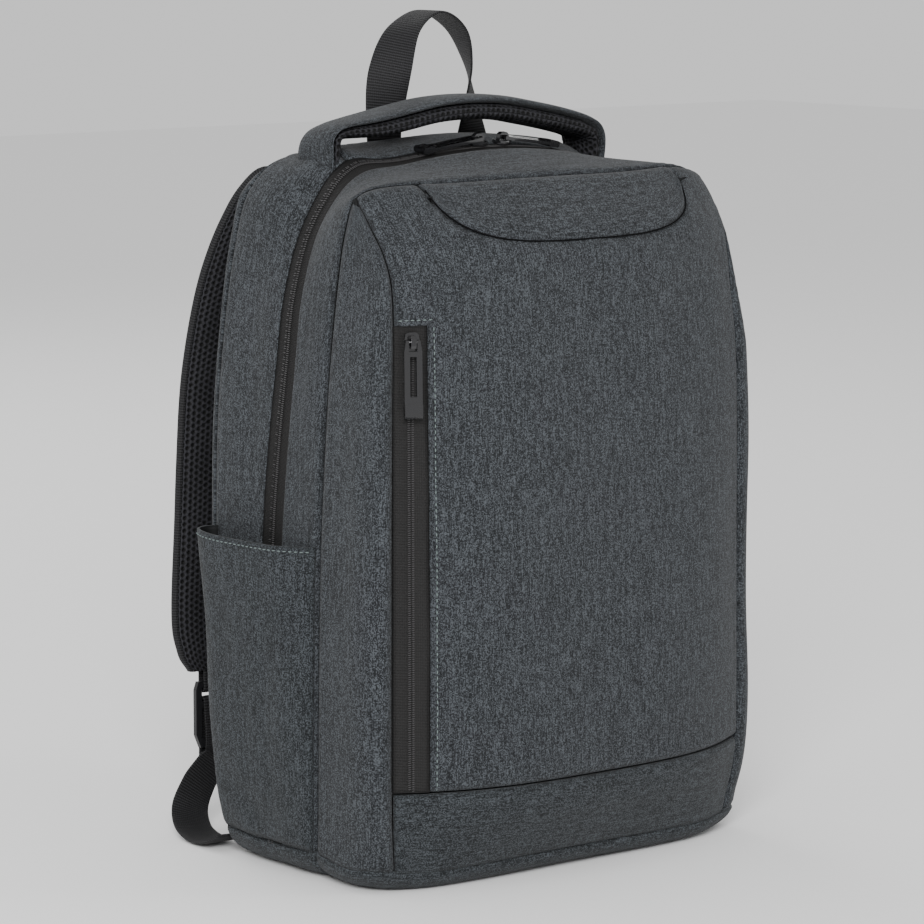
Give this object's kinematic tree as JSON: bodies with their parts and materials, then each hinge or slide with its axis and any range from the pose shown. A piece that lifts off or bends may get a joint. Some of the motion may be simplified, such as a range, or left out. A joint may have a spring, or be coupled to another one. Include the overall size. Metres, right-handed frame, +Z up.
{
  "type": "laptop backpack",
  "caption": "Soft-sided laptop backpack in heathered grey fabric, with a curved front, zipped top and front, bottle pockets, padded carry handle, haul loop and padded shoulder straps.",
  "frame": {"origin": "middle of the flat of the base, on the surface that the bag stands on", "axes": "+Z up, from the base to the haul loop; the front face looks along -Y; +X is to the viewer's right as they face the front"},
  "size_m": [0.3408, 0.2609, 0.5119],
  "materials": {
    "shell_fabric": "heathered melange weave, matte",
    "zip_tape": "fine herringbone tape, matte",
    "zip_coil": "satin coil",
    "air_mesh": "open spacer mesh, matte",
    "webbing": "ribbed webbing, matte",
    "buckle_plastic": "satin moulded",
    "slider_metal": "gloss black plating"
  },
  "bodies": {
    "root": {"rear_gusset": "shell_fabric", "front_gusset": "shell_fabric", "fold_left": "shell_fabric", "fold_right": "shell_fabric", "main_zip_tape": "zip_tape", "main_zip_coil": "zip_coil", "back_panel": "shell_fabric", "base_band": "shell_fabric", "front_yoke": "shell_fabric", "front_panel": "shell_fabric", "front_zip_tape": "zip_tape", "bottom_panel": "shell_fabric", "pocket_left": "shell_fabric", "pocket_right": "shell_fabric", "handle_top": "shell_fabric", "handle_pad": "air_mesh", "haul_loop": "webbing", "strap_left": "shell_fabric", "strap_mesh_left": "air_mesh", "strap_tab_left": "webbing", "ladder_lock_left": "buckle_plastic", "strap_webbing_left": "webbing", "strap_right": "shell_fabric", "strap_mesh_right": "air_mesh", "strap_tab_right": "webbing", "ladder_lock_right": "buckle_plastic", "strap_webbing_right": "webbing", "main_left_slider": "slider_metal", "main_right_slider": "slider_metal", "front_zip_coil": "zip_coil", "front_slider": "slider_metal"},
    "main_left_pull": {"main_left_puller": "slider_metal"},
    "main_right_pull": {"main_right_puller": "slider_metal"},
    "front_pull": {"front_puller": "slider_metal"}
  },
  "joints": [
    {"name": "main_left_puller_hinge", "type": "hinge", "parent": "root", "child": "main_left_pull", "pos_m": [-0.00976, -0.00014, 0.43436], "axis": [0.048, 0.9914, 0.1219], "range_deg": [0, 95]},
    {"name": "main_right_puller_hinge", "type": "hinge", "parent": "root", "child": "main_right_pull", "pos_m": [0.00976, -0.00014, 0.43436], "axis": [0.048, -0.9914, -0.1219], "range_deg": [0, 95]},
    {"name": "front_puller_hinge", "type": "hinge", "parent": "root", "child": "front_pull", "pos_m": [-0.12927, -0.08383, 0.32614], "axis": [-0.9009, 0.4341, 0.0028], "range_deg": [-1, 160]}
  ]
}
